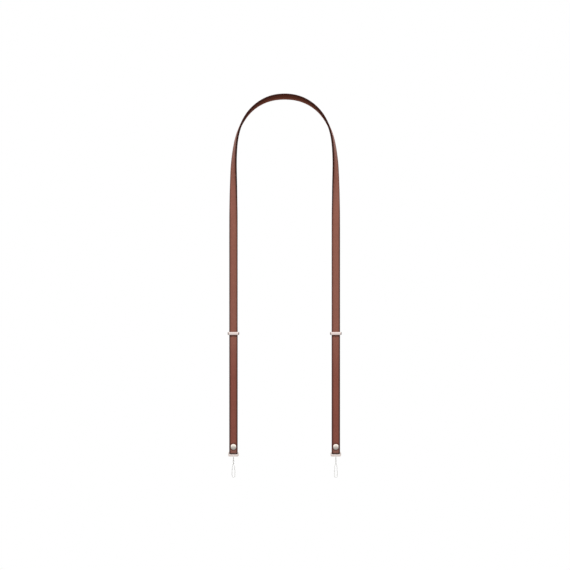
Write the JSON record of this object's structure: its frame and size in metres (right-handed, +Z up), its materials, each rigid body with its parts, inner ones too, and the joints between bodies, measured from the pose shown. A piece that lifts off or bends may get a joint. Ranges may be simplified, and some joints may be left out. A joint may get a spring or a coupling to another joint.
{
  "type": "phone shoulder strap",
  "caption": "Narrow leather neck strap for a phone, with a metal slider, rivet, flat ring and thin cord loop at the end of each leg.",
  "frame": {"origin": "middle of the strap's underside at its top, where it rests on the back of the neck", "axes": "+Z up along the hanging legs, +Y to the wearer's back, +X to the right of the front view"},
  "size_m": [0.1428, 0.032, 0.4813],
  "materials": {
    "leather": "smooth brown leather with dark painted edges",
    "nickel": "polished nickel plate",
    "cord": "white braided polyester"
  },
  "bodies": {
    "strap_body": {"strap": "leather", "rivet_left": "nickel", "rivet_right": "nickel", "ring_left": "nickel", "ring_right": "nickel", "cord_left": "cord", "cord_right": "cord"},
    "slider_left_body": {"slider_left": "nickel"},
    "slider_right_body": {"slider_right": "nickel"}
  },
  "joints": [
    {"name": "slider_left_slide", "type": "slide", "parent": "strap_body", "child": "slider_left_body", "axis": [0, 0, 1], "range_m": [-0.135, 0.078]},
    {"name": "slider_right_slide", "type": "slide", "parent": "strap_body", "child": "slider_right_body", "axis": [0, 0, 1], "range_m": [-0.135, 0.078]}
  ]
}
